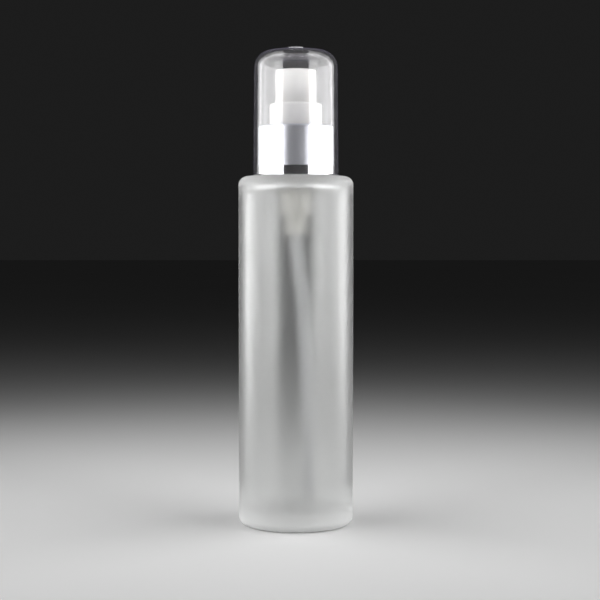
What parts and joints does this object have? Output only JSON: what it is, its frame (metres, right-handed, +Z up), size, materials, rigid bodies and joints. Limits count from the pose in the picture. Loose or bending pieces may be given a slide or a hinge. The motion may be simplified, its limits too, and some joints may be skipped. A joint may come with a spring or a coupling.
{
  "type": "foundation pump bottle",
  "caption": "Slim round frosted-glass bottle with a screw-on lotion pump, satin aluminium collar and clear domed overcap.",
  "frame": {"origin": "centre of the face that the bottle stands on", "axes": "+Z up along the bottle's axis; the pump's outlet faces +Y, so the side away from it faces -Y"},
  "size_m": [0.0364, 0.0364, 0.1517],
  "materials": {
    "frosted_glass": "acid-frosted outside, clear inside",
    "clear_plastic": "polished clear plastic",
    "satin_aluminium": "satin anodised, with a polished band at its foot",
    "white_plastic": "semi-gloss moulded white plastic",
    "natural_plastic": "milky natural plastic",
    "seal": "soft white plastic",
    "steel": "bright drawn stainless steel"
  },
  "bodies": {
    "bottle_body": {"bottle": "frosted_glass"},
    "pump_body": {"pump_housing": "natural_plastic", "turret": "white_plastic", "gasket": "seal", "stem_seal": "seal", "dip_tube": "natural_plastic", "spring": "steel"},
    "closure_body": {"closure": "white_plastic", "collar_shell": "satin_aluminium"},
    "cap_body": {"overcap": "clear_plastic"},
    "seat_body": {"piston_seat": "natural_plastic"},
    "piston_body": {"piston": "seal"},
    "head_body": {"actuator": "white_plastic", "nozzle_insert": "white_plastic", "stem": "natural_plastic"},
    "ball_body": {"check_ball": "steel"}
  },
  "joints": [
    {"name": "pump_rise", "type": "slide", "parent": "bottle_body", "child": "pump_body", "axis": [0, 0, 1], "range_m": [0, 0.0055]},
    {"name": "closure_turn", "type": "hinge", "parent": "pump_body", "child": "closure_body", "pos_m": [0, 0, 0.118], "axis": [0, 0, 1], "range_deg": [0, 630]},
    {"name": "cap_lift", "type": "slide", "parent": "closure_body", "child": "cap_body", "axis": [0, 0, 1], "range_m": [0, 0.045]},
    {"name": "head_press", "type": "slide", "parent": "pump_body", "child": "seat_body", "axis": [0, 0, -1], "range_m": [0, 0.005], "stiffness_N_per_m": 900, "springref_m": -0.004, "deforming": ["spring"]},
    {"name": "head_turn", "type": "hinge", "parent": "seat_body", "child": "head_body", "pos_m": [0, 0, 0.138], "axis": [0, 0, 1], "continuous": true},
    {"name": "piston_slip", "type": "slide", "parent": "seat_body", "child": "piston_body", "axis": [0, 0, 1], "range_m": [0, 0.0008]},
    {"name": "ball_lift", "type": "slide", "parent": "pump_body", "child": "ball_body", "axis": [0, 0, 1], "range_m": [0, 0.0014]}
  ],
  "couplings": [
    {"joint": "closure_turn", "follows": "pump_rise", "rad_per_m": 1979}
  ]
}
